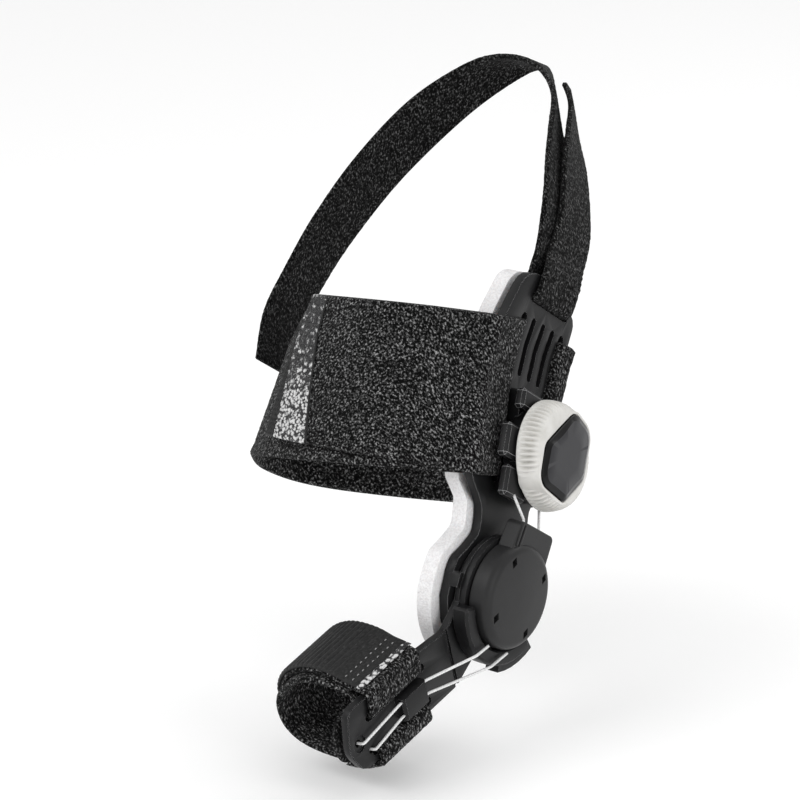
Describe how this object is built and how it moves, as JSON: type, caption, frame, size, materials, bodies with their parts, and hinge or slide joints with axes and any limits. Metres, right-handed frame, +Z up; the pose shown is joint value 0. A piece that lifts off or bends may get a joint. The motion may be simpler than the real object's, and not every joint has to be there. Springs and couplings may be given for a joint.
{
  "type": "bunion corrector",
  "caption": "Hinged brace for a right foot: a side frame with a winding dial and laces draws a toe arm outward, held by instep, heel and toe straps.",
  "frame": {"origin": "on the toe hinge's axis, where it meets the inner face of the foam pad that lies on the foot", "axes": "+X along the hinge's axis away from the foot (medial), -Y toward the toes, +Z up the leg"},
  "size_m": [0.1213, 0.1749, 0.1765],
  "materials": {
    "black_plastic": "satin moulded plastic",
    "cover_plastic": "fine matt moulded plastic",
    "grey_rubber": "soft ribbed grip",
    "cap_gloss": "polished",
    "white_foam": "soft closed-cell foam",
    "black_loop_cloth": "brushed loop pile",
    "black_webbing": "ribbed weave",
    "hook_strip": "shiny hooked mesh",
    "steel_lace": "fine pale cable"
  },
  "bodies": {
    "frame": {"side_frame": "black_plastic", "foam_pad": "white_foam", "hinge_pin": "black_plastic", "hinge_base": "black_plastic", "hinge_cover": "cover_plastic", "dial_base": "black_plastic", "lace_upper_1": "steel_lace", "lace_upper_2": "steel_lace", "instep_strap": "black_loop_cloth", "instep_hook_tab": "hook_strip", "heel_strap": "black_loop_cloth"},
    "toe_splint": {"toe_arm": "black_plastic", "toe_pad": "black_webbing", "toe_strap": "black_loop_cloth", "toe_hook_tab": "black_webbing", "lace_lower_1": "steel_lace", "lace_lower_2": "steel_lace"},
    "dial": {"dial_ring": "grey_rubber", "dial_cap": "cap_gloss"}
  },
  "joints": [
    {"name": "toe_hinge", "type": "hinge", "parent": "frame", "child": "toe_splint", "pos_m": [0, 0, 0], "axis": [1, 0, 0], "range_deg": [-15, 40]},
    {"name": "dial_turn", "type": "hinge", "parent": "frame", "child": "dial", "pos_m": [0.0177, 0.02567, 0.03576], "axis": [0.9816, 0.0997, 0.1627], "continuous": true}
  ]
}
